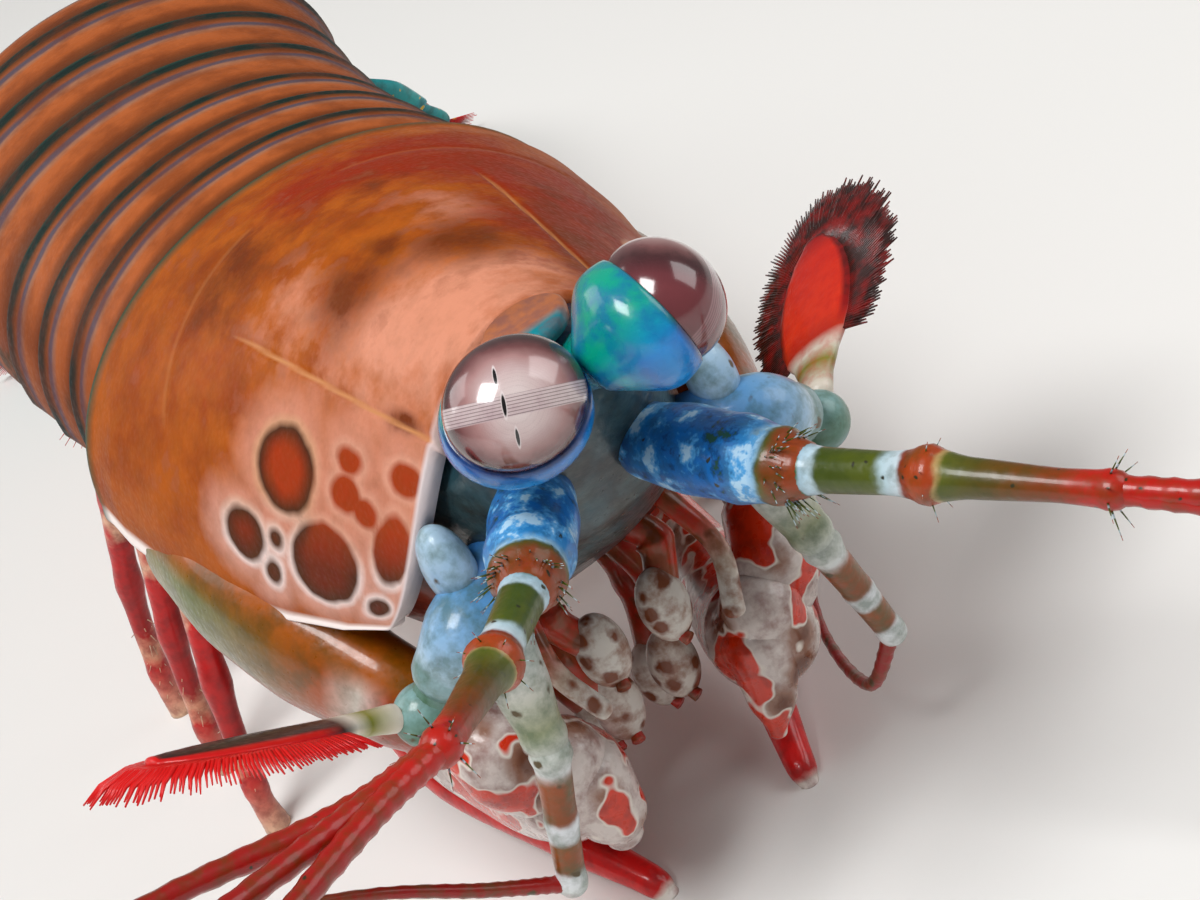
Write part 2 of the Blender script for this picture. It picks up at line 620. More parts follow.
for number, (start, end) in enumerate(plate_ends[:3]):
    y = (start + end) / 2
    sweep = (number - 0.6) * 3.2
    for side_name, sign in SIDES:
        bm = new_form()
        limb_form(bm, mirrored(sign, (8.6, y, -10.4, 1.5), (11, y, -14.4, 1.3), (14.5, y + sweep * 0.4, -19, 1),
                               (LEG_REACH - 1.6, y + sweep * 0.8, -26, 0.8), (LEG_REACH, y + sweep, -33.5, 0.7),
                               (LEG_REACH + 0.2, y + sweep, -37.2, 0.9)), rings=44,
                  bumps=((0.2, 0.03, 0.2), (0.4, 0.03, 0.25), (0.6, 0.03, 0.25), (0.8, 0.03, 0.25)))
        limb_form(bm, mirrored(sign, (11.4, y + 0.3, -15, 0.7), (12.6, y + sweep * 0.5 + 1.4, -22, 0.55),
                               (12.8, y + sweep * 0.7 + 1.8, -29, 0.45)), sides=10, start=0.3, end=0.9)
        for i in range(LEG_HAIRS):
            way = Vector((sign * random.uniform(-0.4, 0.9), random.uniform(-1, 1), -0.6))
            root = Vector((sign * (LEG_REACH - 0.9 + 0.045 * i), y + sweep * (0.85 + 0.006 * i), -28.4 - 0.3 * i))
            spine(bm, root, way, random.uniform(0.9, 1.6), 0.09, sides=4, sink=0.2, guide_value=(0.78, 0, 0))
        stand_on_floor(bm)
        finish_piece(bm, f"walking_leg_{number + 1}_{side_name}", "skin", leg_finish)

# Head and front of the thorax
# Soft body under the shell, which it is joined to. The head is dark blue skin, paler
# around the mouth; the thorax between the claws is dull red flesh.
CARAPACE_SHAPE = ((CARAPACE_FRONT, 7.8, 11, 0.9, -13, 2), (3.4, 6, 12.2, 1.2, -13.8, 1.75),
                  (9, 3.9, 13.6, 1.5, -13.9, 1.5), (15, 2.2, 15, 1.6, -13.6, 1.25), (21.5, 0.8, 16.2, 1.2, -13, 1.1),
                  (27.5, -0.2, 16.8, 0.5, -12.3, 1), (CARAPACE_LENGTH, -0.4, 16.8, 0, -11.9, 1))
HEAD_SHAPE = ((-5.9, 1.8, -0.5, -2.7), (-4.4, 3.3, 0.1, -5.5), (-2, 5, 0.1, -10.5), (1.5, 6.8, 0, -14),
              (5.3, 8, 0.2, -16.8))
BODY_STEPS = 24
CORE_SHAPE = ((5.6, 8.2, 1.6, -17), (9, 9.6, 1.6, -19), (16, 11.2, 1.4, -19.4), (24, 12.6, 1, -17.5),
              (CARAPACE_LENGTH, 14.2, -1.6, -12.2))


def under_shell(spot):
    """Lowers a point of soft body until it is clear of the shell above it."""
    y = spot.y
    for _ in range(4):
        bow, wide, crest, margin, bend = measures(CARAPACE_SHAPE, y)
        lean = math.sqrt(max(1 - min(abs(spot.x) / (wide - 1.4), 1) ** 2, 0))
        y = spot.y - bow * (1 - lean) ** 1.5
    crown = crest - 1.6
    return min(spot.z, crown - (crown - margin) * (1 - lean ** bend))


def body_rings(shape, power):
    """Sections of soft body along a shape, more square as the power gets smaller."""
    rings = []
    first, last = shape[0][0], shape[-1][0]
    for step in range(BODY_STEPS):
        y = first + (last - first) * step / (BODY_STEPS - 1)
        wide, high, low = measures(shape, y)
        middle = (high + low) / 2
        ring = []
        for c, s in circle(72):
            spot = Vector((wide * math.copysign(abs(c) ** power, c), y,
                           middle + (high - middle) * math.copysign(abs(s) ** power, s)))
            if y > -1.5:
                spot.z = max(under_shell(spot), low)
            ring.append((spot, ((y - first) / (last - first), c, s)))
        rings.append(ring)
    return rings


bm = new_form()
skin_rings(bm, body_rings(HEAD_SHAPE, 0.8))
head_finish, shader, point, axes = wet_shell("head_skin", roughness=0.3, coat=0.4, pit_size=0.5, pit_depth=0.3)
colour = colour_steps(axes["Z"], "0 2c3230, 0.3 10222a, 0.6 0a2838, 1 0c3654")
colour = mottled(point, colour, "08141c", 1.8, 0.9)
feed(shader, {"Base Color": mottled(point, colour, "5f9aa8", 2.6, 0.15)})
finish_piece(bm, "head", "skin", head_finish)
bm = new_form()
skin_rings(bm, body_rings(CORE_SHAPE, 0.65))
flesh_finish = banded("dull_red_flesh", "0 6b1b04, 0.5 7a2c07, 1 8a3d0a", pigment="3a0b04", size=2, amount=0.7)
finish_piece(bm, "thorax_front", "", flesh_finish, name="thorax_flesh")

# Rostral plate
# A small loose shield of thin brown-pink shell between the eyes, hinged to the front
# of the carapace. Its front edge is blue-green.
bm = new_form()
rings = []
for level_height, spread in ((0.45, 0.9), (0.55, 0.98), (0.85, 1), (1.12, 0.97), (1.25, 0.88)):
    ring = []
    for c, s in circle(40):
        x = 2.7 * c * (0.75 + 0.25 * s) * spread
        y = -3.3 + (2.1 if s < 0 else 1.8) * s * spread
        ring.append((Vector((x, y, level_height - 0.045 * x * x)), (x, y, 0)))
    rings.append(ring)
skin_rings(bm, rings)
rostrum_finish, shader, point, axes = wet_shell("rostral_shell", roughness=0.4, coat=0.1, shine=0.15)
colour = over(between(axes["Y"], -3.9, -4.7), "a86440", "0a7a86")
feed(shader, {"Base Color": mottled(point, colour, "6a4a50", 0.9, 0.5)})
finish_piece(bm, "rostral_plate", "", rostrum_finish, name="rostral_shield")

# Carapace
# One sheet of hard shell over the head and thorax, 0.9 mm thick, bent down at the
# sides with white rolled edges. Leopard spots in a pale net at the lower front.
SHELL_THICKNESS, SHELL_RADIUS = 0.0009, 15
SHELL_WRAP = ((CARAPACE_FRONT, 77), (3.4, 80), (9, 84), (15, 88), (21.5, 90))
LEOPARD_SPOTS = ((47, 9.6, 7.6, 2.3), (63.5, 12.6, 5.2, 1.6), (61.5, 5.8, 8.4, 2.7), (40, 4.8, 2.2, 0.9),
                 (45.8, 4.7, 3.2, 1.1), (47.4, 3, 2.4, 0.9), (38.5, 0.3, 2.7, 1.2), (52.5, 0.5, 7, 1.5),
                 (61, 10, 1.5, 0.45), (69, 10.2, 2.7, 0.6), (67, 0.9, 2.6, 0.9))
PALE_WASHES = ((-1, 1.5, 16, 5.5, 1), (-17, 4, 9, 5, 0.8), (-20, 13.8, 8, 3.4, 0.6), (16, 12.4, 8, 3.2, 0.45),
               (-31, 3, 7, 8, 0.5), (19, 2.5, 9, 2.4, 0.5))
BROWN_WASHES = ((-13, 9.8, 9, 2.6, 0.9), (10.5, 7, 10, 2.6, 0.9), (-17, 21.9, 9, 4.2, 0.75),
                (-29.5, 1.2, 2.4, 1.4, 1), (-1, 10.7, 3.5, 1.2, 0.9), (37, 8, 9, 3.2, 1), (-29, 21, 5, 3, 0.5),
                (8, 19, 10, 2.2, 0.5), (30, 3, 8, 2.2, 0.7))
FIERY_WASHES = ((24, 22.5, 19, 6, 1), (44, 8, 20, 14, 1), (2, 24, 13, 5, 0.6), (-40, 20, 14, 7, 0.3),
                (22, 9, 8, 2, 0.5))

carapace_finish, shader, point, axes = wet_shell("leopard_carapace", roughness=0.48, coat=0.03, pit_size=0.3,
                                                 shine=0.1)
washes = own_values(carapace_finish, "wash")[1]
near_spot = add("ShaderNodeAttribute", {}, carapace_finish.node_tree, attribute_name="leopard").outputs["Fac"]
ragged = between(noise(point, 0.45, 5, 0.6), 0.35, 0.65, -0.25, 0.25)
side_edge = maths("ABSOLUTE", axes["X"])

# Blotched orange ground with fiery, pale and brown washes, each ragged where it thins out
colour = mottled(point, "a4500c", "7a2c02", 3.5, 0.6)
for part, chip in (("Z", "8c2400"), ("X", "cc866a"), ("Y", "6c2c06")):
    colour = over(between(maths("ADD", washes[part], ragged), 0.15, 0.85), colour, chip)

# A pale blush around the spots, and a red flush on the far flank
low_down = between(side_edge, 0.62, 0.76)
blush = maths("MULTIPLY", between(maths("ADD", near_spot, ragged), 2.6, 0.7), 0.8)
colour = over(blush, colour, over(low_down, "c8866e", "d09c8c"))
uneven = maths("MULTIPLY_ADD", ragged, 0.5, axes["X"])
flank_part = maths("MULTIPLY", between(uneven, 0.24, 0.56), between(axes["X"], 0.78, 0.6))
flushed = maths("MULTIPLY", flank_part, between(axes["Y"], 28, 16))
colour = over(flushed, colour, mottled(point, "8a2200", "6a2a08", 2.5, 0.7))

# The spots' net, dark rims and red middles, from outside in
dark_rim = maths("MAXIMUM", low_down, between(axes["Y"], 6.4, 7.6))
spot_edge = wavering(near_spot, noise(point, 0.8, 1), 0.2)
net = over(dark_rim, "cc9078", over(low_down, "c49070", "e0cac4"))
for outer, inner, mark in ((0.7, 0.25, net), (0.3, -0.12, over(dark_rim, "983406", "44210c")),
                           (-0.1, -1.1, over(low_down, "9a3004", "641e02"))):
    colour = over(between(spot_edge, outer, inner), colour, mark)
colour = mottled(point, colour, "5c3c14", 1.1, 0.15)

# Pale ridge lines, white side and front edges and a dark green rear edge
front = maths("MULTIPLY", between(axes["Y"], -0.6, -1.05), between(side_edge, 0.25, 0.45))
for mask, chip in ((between(axes["Z"], 0.05, 0.16), "c08250"), (between(side_edge, 0.935, 0.965), "ece0dc"),
                   (front, "d0c4c4"), (between(axes["Y"], 30.4, 31.4), "334733")):
    colour = over(mask, colour, chip)
feed(shader, {"Base Color": colour})


def washed(washes, angle, y):
    """How much of a pigment lies at a place."""
    total = sum(strength * math.exp(-((angle - a) / wide) ** 2 - ((y - b) / long) ** 2)
                for a, b, wide, long, strength in washes)
    return min(total, 1)


def ridge_line(angle, y):
    """Two straight grooves run back from the eyes, joined by a curved one across."""
    lengthwise = math.exp(-((abs(angle) - 30) / 0.6) ** 2) * eased(y, 20, 14)
    across_at = 24.5 - 4.5 * (abs(angle) / 60) ** 2
    crosswise = math.exp(-((y - across_at) / 0.55) ** 2) * eased(abs(angle), 4, 12) * eased(abs(angle), 62, 48)
    return 0.16 * lengthwise + 0.07 * crosswise


def rolled_edge(rim_share, y):
    """Height of the bead along the sides, the front and the rear."""
    sides = 0.14 * math.exp(-((1 - abs(rim_share)) / 0.03) ** 2)
    front = 0.12 * math.exp(-((y - CARAPACE_FRONT) / 0.6) ** 2) * eased(abs(rim_share), 0.99, 0.93)
    return sides + front + 0.1 * math.exp(-((y - 31.2) / 0.5) ** 2)


bm = new_form()
guide = bm.verts.layers.float_vector["guide"]
wash = bm.verts.layers.float_vector.new("wash")
leopard = bm.verts.layers.float.new("leopard")
bmesh.ops.create_grid(bm, x_segments=230, y_segments=150, size=1)
for vert in bm.verts:
    rim_share = vert.co.x
    y = CARAPACE_FRONT + (CARAPACE_LENGTH - CARAPACE_FRONT) * (vert.co.y + 1) / 2
    angle = rim_share * measure(SHELL_WRAP, y)
    bow, wide, crest, margin, bend = measures(CARAPACE_SHAPE, y)
    lean = math.cos(math.radians(angle))
    depth = ridge_line(angle, y)
    radius = 1 + (rolled_edge(rim_share, y) - depth) / SHELL_RADIUS
    vert[guide] = (rim_share, y, depth)
    vert[wash] = [washed(washes, angle, y) for washes in (PALE_WASHES, BROWN_WASHES, FIERY_WASHES)]
    around = -angle if angle < 0 else angle - 14
    vert[leopard] = min((math.hypot((around - a) / spot_wide, (y - b) / spot_long) - 1)
                        * (spot_wide * 0.25 + spot_long) / 2 for a, b, spot_wide, spot_long in LEOPARD_SPOTS)
    fall = (crest - margin) * (1 - max(lean, 0) ** bend) * (2 - radius)
    vert.co = Vector((wide * math.sin(math.radians(angle)) * radius, y + bow * (1 - lean) ** 1.5,
                      crest - fall + (radius - 1) * SHELL_RADIUS * lean))
carapace_shell = finish_piece(bm, "carapace", "shell", carapace_finish, closed=False)
wall = carapace_shell.modifiers.new("wall", "SOLIDIFY")
wall.thickness = SHELL_THICKNESS
wall.offset = -1

# Eyes
# Two stalked eyes, each turned its own way: a glassy ball of mauve facets crossed by
# two lines of larger ones, in a blue cup. Three dark slits show in the middle.
EYES = {"L": ((3.8, -8.6, 0.9), (0.97, -0.08, 0.22), (1.3, -5.2, -1.2), (0.69, 0.53, 0.47), (-0.57, 0.81, -0.07)),
        "R": ((-3.6, -8.5, 0.9), (-0.05, -0.67, 0.74), (-1.6, -5.2, -1.6), (-0.2, -0.86, 0.47), (0.9, -0.35, -0.25))}
EYE_WIDE, EYE_HIGH, EYE_RADIUS, EYE_STEPS = 1.02, 0.93, 3, 96
CUP_SHAPE = ((-0.5, 2.72), (-0.32, 2.84), (-0.26, 2.95), (-0.34, 3.08), (-0.5, 3.15), (-0.75, 3.21), (-1, 3.245),
             (-1.3, 3.26), (-1.55, 3.235), (-1.8, 3.16), (-2.05, 3.03), (-2.3, 2.85), (-2.55, 2.61), (-2.8, 2.36),
             (-3, 2.13), (-3.2, 1.92), (-3.6, 1.52), (-3.9, 1.2), (-4.05, 0.9))
SLITS = ((-0.206, 0.418, 0.11, 0.024, -0.05), (-0.173, 0.02, 0.145, 0.027, -0.05), (-0.085, -0.428, 0.115, 0.024, 0))
BAND_HALF_WIDTH, ROW_SPACING = 0.15, 0.045


def distance_from_middle(x, y):
    flat = add("ShaderNodeCombineXYZ", {0: x, 1: y}).outputs[0]
    return add("ShaderNodeVectorMath", {0: flat}, operation="LENGTH").outputs["Value"]


eye_finish, shader = new_material("faceted_eye")
on_eye, axes = own_values(eye_finish, "guide")
facets = add("ShaderNodeTexVoronoi", {"Vector": on_eye, "Scale": 46, "Randomness": 0.25},
             feature="DISTANCE_TO_EDGE").outputs["Distance"]
reach = wavering(distance_from_middle(axes["X"], axes["Y"]), noise(on_eye, 1.6, 3), 0.15)
front_colour = colour_steps(reach, "0 d6cac8, 0.4 c2abaa, 0.65 a27a78, 0.82 6c4040, 0.93 3a1a1c, 1 1c0a0c")
rear_colour = colour_steps(between(axes["Z"], -1, 0.35), "0 5a2226, 0.6 6a2e33, 1 4a1e24")
near_side = between(axes["Z"], 0, 0.35)
colour = over(near_side, rear_colour, front_colour)
across = maths("ABSOLUTE", axes["Y"])
pale_band = over(near_side, "8a5c60", mottled(on_eye, "c7b6b6", "a1838b", 0.5, 0.5))
colour = over(between(across, BAND_HALF_WIDTH, 0.13), colour, pale_band)
wave = maths("SINE", maths("MULTIPLY", axes["Y"], 2 * math.pi / ROW_SPACING))
row_line = maths("MULTIPLY", between(wave, 0.35, 0.8), between(across, BAND_HALF_WIDTH, 0.14))
colour = over(maths("MULTIPLY", row_line, 0.55), colour, "3c2028")
colour = over(maths("MULTIPLY", between(facets, 0.12, 0.02), 0.12), colour, "67404e")
nearest = None
for slit_x, slit_y, half_long, half_wide, slant in SLITS:
    off_y = maths("SUBTRACT", axes["Y"], slit_y)
    slanted = maths("MULTIPLY_ADD", off_y, slant, maths("SUBTRACT", axes["X"], slit_x))
    from_slit = distance_from_middle(maths("DIVIDE", off_y, half_long), maths("DIVIDE", slanted, half_wide))
    nearest = maths("MINIMUM", nearest, from_slit) if nearest else from_slit
colour = over(between(nearest, 1.5, 1.15), colour, "d9cdcd")
colour = over(between(nearest, 1.15, 0.85), colour, "090507")
bump = add("ShaderNodeBump", {"Height": facets, "Strength": 0.05, "Distance": 0.00005})
feed(shader, {"Base Color": colour, "Roughness": 0.16, "Coat Weight": 0.7, "Coat Roughness": 0.04,
              "Normal": bump.outputs["Normal"]})

cup_finish, shader, point, axes = wet_shell("blue_cup", roughness=0.22, coat=0.6, pit_size=0.6, pit_depth=0.15)
colour = colour_steps(axes["X"], "0 1c0e30, 0.03 1b336b, 0.1 0075c5, 0.35 0086d1, 0.6 006eb9, 0.85 0099aa, 1 007a87")
colour = over(between(axes["Z"], 0.1, 0.75), colour, "00967c")
feed(shader, {"Base Color": mottled(point, colour, "00529c", 1.4, 0.6)})

for side_name, rows in EYES.items():
    center, look, root, gaze, band_way = (Vector(row) for row in rows)
    look = look.normalized()
    gaze = gaze.normalized()
    side = look.cross(UP).normalized()
    lift = side.cross(look)
    band = (band_way - gaze * band_way.dot(gaze)).normalized()
    other = gaze.cross(band)

    def eye_ring(along, radius, value=None):
        """A ring about the eye; its guide lies along the band unless a value is given."""
        ring = []
        for c, s in circle(EYE_STEPS):
            away = side * radius * EYE_WIDE * c + lift * radius * EYE_HIGH * s
            spot = look * along + away
            where = [spot.dot(axis) / EYE_RADIUS for axis in (band, other, gaze)] if value is None else (value, c, s)
            ring.append((center + spot, where))
        return ring

    bm = new_form()
    turns = [math.radians(t) for t in range(-22, 90, 4)]
    skin_rings(bm, [eye_ring(0.25 + 2.5 * math.sin(t), EYE_RADIUS * math.cos(t)) for t in turns])
    finish_piece(bm, f"eye_{side_name}", "ball", eye_finish)
    bm = new_form()
    skin_rings(bm, [eye_ring(along, radius, (-0.28 - along) / 3.6) for along, radius in CUP_SHAPE])
    rear = center - look * 2.6
    limb_form(bm, [(*root, 1.5, 1.4), (*root.lerp(rear, 0.6), 1.4), (*rear, 1.4)], start=1, end=0.8)
    finish_piece(bm, f"eye_stalk_{side_name}", "", cup_finish, name=f"eye_{side_name}_cup")

# Antennules
# Three jointed segments and three red whips on each side: mottled blue at the root,
# then olive with white rings and orange joints. Hairs and small spines at the joints.
ANTENNULES = {
    "L": (((2.6, -3.6, -7.4), (5.1, -12, -7.6), (7.9, -17.8, -7.7), (11.7, -24.3, -8.7)),
          (((15.5, -30.2, -9.2), (22, -38, -8.2), (30, -45, -4)),
           ((15.3, -30.4, -10.2), (20, -39, -12.5), (26, -49, -13)),
           ((15.8, -29.8, -10), (24, -35.5, -14), (33, -40, -17.5)))),
    "R": (((-3.3, -3.2, -6.6), (-7.1, -9.5, -5.9), (-10.8, -13.9, -5), (-15, -18.8, -3.2)),
          (((-19.4, -21.3, -2.2), (-26.4, -25.9, -1.2), (-35, -31.5, -2)),
           ((-19.4, -19.3, -2.6), (-27.3, -19.4, -0.6), (-37.5, -19.5, 0.4)),
           ((-19.6, -20.3, -2.2), (-27.5, -23, -0.2), (-37.2, -26, 2.6)))),
}
ROOT_HAIRS, JOINT_SPINES = 46, 8
WHIP_HALVES = (0.55, 0.5, 0.4, 0.22)
WHIP_RINGS = [(0.02 + 0.048 * k, 0.012, 0.12) for k in range(20)]
antennule_finish = banded(
    "ringed_antennule",
    "0 12508c, 0.15 1a78c0, 0.35 146cb8, 0.6 1268b4, 0.76 2a7cb8, 0.83 9cc4dc, 0.87 4c5420, 0.92 7a3406, "
    "1.04 8c3404, 1.09 2c4018, 1.13 34501c, 1.16 a0bccc, 1.26 b4ccd8, 1.3 3c4a0c, 1.62 4c5606, 1.68 acc4cc, "
    "1.78 c0d0d8, 1.83 7c2a04, 1.92 a03c06, 2.06 9a3404, 2.1 a88c58, 2.15 545a10, 2.35 4c4408, 2.65 7a3004, "
    "2.85 a81804, 3.1 aa1004, 3.5 8c0c06, 4 6c0806",
    span=4, pigment="2c3c04", size=0.8, amount=0.4, waver=0.06, dots=(0.9, 0.14, "272712"), coat=0.3,
    patches=((0.5, 0.56, "4a98d0"), (0.57, 0.62, "a8cce4"), (0.43, 0.38, "0e4a84"), (0.37, 0.34, "1c4438")))
for side_name, (joints, whips) in ANTENNULES.items():
    base, first, second, third = (Vector(spot) for spot in joints)
    bm = new_form()
    for number, (low, high, near, halves, sides, rings, bumps) in enumerate((
            (base, first, 0.3, (1.8, 2.05, 1.9, 1.3), 28, 30, ((0.9, 0.07, 0.18), (0.62, 0.05, 0.06))),
            (first, second, 0.25, (1.2, 0.98, 0.92, 1.15), 24, 26, ((0, 0.06, 0.1), (0.95, 0.06, 0.12))),
            (second, third, 0.25, (1.15, 0.85, 0.7, 0.78), 24, 26, ((0, 0.05, 0.12), (0.97, 0.04, 0.1))))):
        limb_form(bm, [(*low.lerp(high, share), half) for share, half in zip((0, near, 0.7, 1), halves)],
                  sides=sides, rings=rings, start=number, end=number + 1, bumps=bumps)
    for whip in whips:
        limb_form(bm, [(*spot, half) for spot, half in zip((third, *whip), WHIP_HALVES)], sides=10, rings=80,
                  start=3, end=4, bumps=WHIP_RINGS)
    way = (first - base).normalized()
    below = way.cross(UP).normalized()
    for i in range(ROOT_HAIRS):
        angle = random.uniform(-2.9, 2.9)
        out = (below * math.cos(angle) + below.cross(way) * math.sin(angle)).normalized()
        spine(bm, first - way * random.uniform(0.2, 1) + out * 1.25, way * 0.8 + out * random.uniform(0.3, 0.9),
              random.uniform(0.9, 1.9), 0.055, sides=4, sink=0.1, guide_value=(0.9, 0, 0))
    for joint_spot, way in ((second, (second - first).normalized()), (third, (third - second).normalized())):
        side = way.cross(UP).normalized()
        for c, s in circle(JOINT_SPINES):
            out = side * c + side.cross(way) * s
            spine(bm, joint_spot + out * 0.95, out + way * 0.5, random.uniform(0.5, 1.1), 0.05, sides=5, sink=0.2)
    finish_piece(bm, f"antennule_{side_name}", "rods", antennule_finish)

# Antennae
# Swollen blue and white knuckles beside the mouth, then a stem with brown and white
# rings that hangs down, and a thin red whip.
ANTENNA_WHIPS = {"L": ((10.4, -1.5, -26.6), (9.2, 1.6, -31), (12.2, 12, -33.8), (19, 24, -34.6)),
                 "R": ((-10.4, -1.5, -26.6), (-14, -1.2, -24), (-20, -0.4, -19.6), (-31, 2, -15))}
antenna_finish = banded(
    "ringed_antenna",
    "0 2f6aa8, 0.25 5c94c4, 0.5 a4c0d4, 0.68 4c7460, 0.85 8cb0b4, 1.1 b8c4c0, 1.5 c0bfb6, 1.8 8c9070, "
    "2.1 ccd0d0, 2.18 8a4008, 2.45 7c3c06, 2.49 d4d8dc, 2.6 d8dce0, 2.64 8c4408, 2.84 7c3c06, 2.88 dce0e4, "
    "3 d8dcdc, 3.06 960a04, 4 860806",
    span=4, pigment="34502c", size=1.3, amount=0.6, waver=0.04, dots=(1.6, 0.2, "4c3c1c"), coat=0.35)


def bulb(bm, center, half_sizes, value):
    """A swollen knuckle or hand, added to the form."""
    guide = bm.verts.layers.float_vector["guide"]
    made = bmesh.ops.create_uvsphere(bm, u_segments=32, v_segments=20, radius=1)["verts"]
    for vert in made:
        vert[guide] = (value + 0.12 * vert.co.z, vert.co.x, vert.co.z)
        vert.co = center + Vector([c * half for c, half in zip(vert.co, half_sizes)])


for side_name, sign in SIDES:
    bm = new_form()
    limb_form(bm, mirrored(sign, (5.8, -0.2, -10.4, 1.9), (8.6, -1.7, -11, 2.1), (10.4, -1.2, -12.4, 1.6)), sides=28,
              end=0.6)
    bulb(bm, Vector((sign * 7.7, -0.6, -8.4)), (1.2, 1.5, 2.4), 0.4)
    bulb(bm, Vector((sign * 12, -0.1, -14.4)), (1.6, 1.5, 1.6), 0.7)
    limb_form(bm, mirrored(sign, (10, -1, -12.4, 1.1), (12, 0, -14.4, 1.1)), start=0.6, end=0.7)
    limb_form(bm, mirrored(sign, (7.2, -1.2, -12, 1.4), (7.8, -1.9, -15, 1.4), (8.3, -2.7, -18.4, 0.95)), sides=24,
              rings=26, start=1, end=2, bumps=((0.9, 0.06, 0.15),))
    limb_form(bm, mirrored(sign, (8.3, -2.7, -18.4, 0.9), (9.4, -2.1, -22.6, 0.8), (10.4, -1.5, -26.6, 0.72)),
              sides=24, rings=30, start=2, end=3, bumps=((0.03, 0.05, 0.2), (0.5, 0.04, 0.1), (0.97, 0.05, 0.12)))
    limb_form(bm, [(*spot, 0.42 - 0.07 * i) for i, spot in enumerate(ANTENNA_WHIPS[side_name])], sides=10, rings=70,
              start=3.06, end=4, bumps=WHIP_RINGS)
    finish_piece(bm, f"antenna_{side_name}", "stem", antenna_finish)

# Antennal scales
# Oval plates on the antennae's outer knuckles with a fringe of long hairs. The left one
# shows its orange-red face with a dark fringe, the right one its black face.
SCALES = {"L": ((12.5, 0.6, -14.2), (20.4, 10.2, -12.1), (-0.5, 0.1, 0.85), (0, 0.05, -0.1)),
          "R": ((-12.5, 0.2, -14.2), (-24.2, -0.9, -6.9), (0.35, 0.35, 0.85), (0.05, -0.05, -0.45))}
SCALE_LENGTH, SCALE_HALF_WIDTH, SCALE_FRINGE, SCALE_HAIRS = 13, 2.7, 4.2, 150
SCALE_SHAPE = ((0.08, 0.35, 0.7), (0.17, 0.38, 0.62), (0.26, 0.55, 0.56), (0.35, 0.8, 0.5), (0.44, 0.93, 0.48),
               (0.53, 0.99, 0.46), (0.62, 1, 0.44), (0.71, 0.95, 0.41), (0.8, 0.84, 0.38), (0.89, 0.65, 0.34),
               (0.98, 0.3, 0.3))
scale_finishes = {}
for side_name, name, roughness, coat, steps, rim, rim_chip in (
        ("L", "orange_scale", 0.38, 0.25,
         "0 cbc1b3, 0.14 737320, 0.22 c7bfaf, 0.3 a82000, 0.42 cc2a04, 0.85 c01c02, 0.98 8c0000, 1.02 130808, "
         "1.6 1a0707, 2 2a0603", (0.78, 0.9), "5b0000"),
        ("R", "black_scale", 0.4, 0.2,
         "0 dbd1c3, 0.14 838327, 0.22 d7cfbf, 0.3 3a1309, 0.4 130e10, 0.98 190d10, 1.04 8c0000, 1.4 bb0000, "
         "2 cb0000", (0.72, 0.86), "bb0000")):
    scale_finishes[side_name], shader, point, axes = wet_shell(name, roughness=roughness, coat=coat)
    on_blade = maths("MULTIPLY", between(maths("ABSOLUTE", axes["Y"]), *rim), between(axes["X"], 0.3, 0.4))
    colour = over(on_blade, colour_steps(axes["X"], steps), rim_chip)
    if side_name == "L":
        colour = mottled(point, colour, "ab0000", 0.9, 0.4)
    feed(shader, {"Base Color": colour})
for side_name, rows in SCALES.items():
    root, tip, face, droop = (Vector(row) for row in rows)
    along = (tip - root).normalized()
    across = along.cross(face).normalized()
    level_face = across.cross(along).normalized()
    bm = new_form()
    limb_form(bm, [(*(root + along * SCALE_LENGTH * share), wide * SCALE_HALF_WIDTH, thick)
                   for share, wide, thick in SCALE_SHAPE], sides=40, rings=36, up=level_face)
    for i in range(SCALE_HAIRS):
        angle = math.radians(-148 + 296 * i / (SCALE_HAIRS - 1))
        c, s = math.cos(angle), math.sin(angle)
        start = root + along * SCALE_LENGTH * (0.64 + 0.33 * c) + across * SCALE_HALF_WIDTH * 0.9 * s
        way = (along * (c + 0.55) + across * 1.25 * s).normalized()
        length = SCALE_FRINGE * random.uniform(0.85, 1.08) * (0.75 + 0.25 * math.cos(angle - 0.6))
        hair = [(*(start + way * reach + droop * (reach / length) ** 2 * length), half)
                for reach, half in ((-0.6, 0.14), (length * 0.35, 0.12), (length * 0.7, 0.09), (length, 0.04))]
        limb_form(bm, hair, sides=4, rings=4, up=level_face, domed=False, start=1.05,
                  end=1.9 if side_name == "R" else 1.2)
    finish_piece(bm, f"antennal_scale_{side_name}", "blade", scale_finishes[side_name])

# Maxillipeds
# A slender first pair beside the mouth and three pairs behind it that end in small
# oval hands, white with brown spots, on orange-red wrists.
FIRST_MAXILLIPED = ((4.6, 4.6, -15.6, 0.6), (5.2, 2.2, -18.4, 0.55), (4.2, 1.2, -21.4, 0.6, 0.5))
MAXILLIPEDS = ((3, (2.6, 6.4, -16.4), (3.4, 5.4, -18), (2, 4.4, -20.8)),
               (4, (2.6, 10, -18.6), (3.4, 8.6, -22.4), (1.9, 7.4, -26.4)),
               (5, (2.6, 14, -19), (3.4, 12.6, -24), (2, 11.6, -29.4)))
hand_finish = banded("spotted_hand", "0 8a1002, 0.5 b42804, 0.8 b8a898, 1 c8c2ba, 1.3 c4bab0, 1.5 aa1404", span=1.5,
                     pigment="7c4420", size=1.2, amount=0.8, dots=(1.5, 0.4, "6c3008"), coat=0.3)
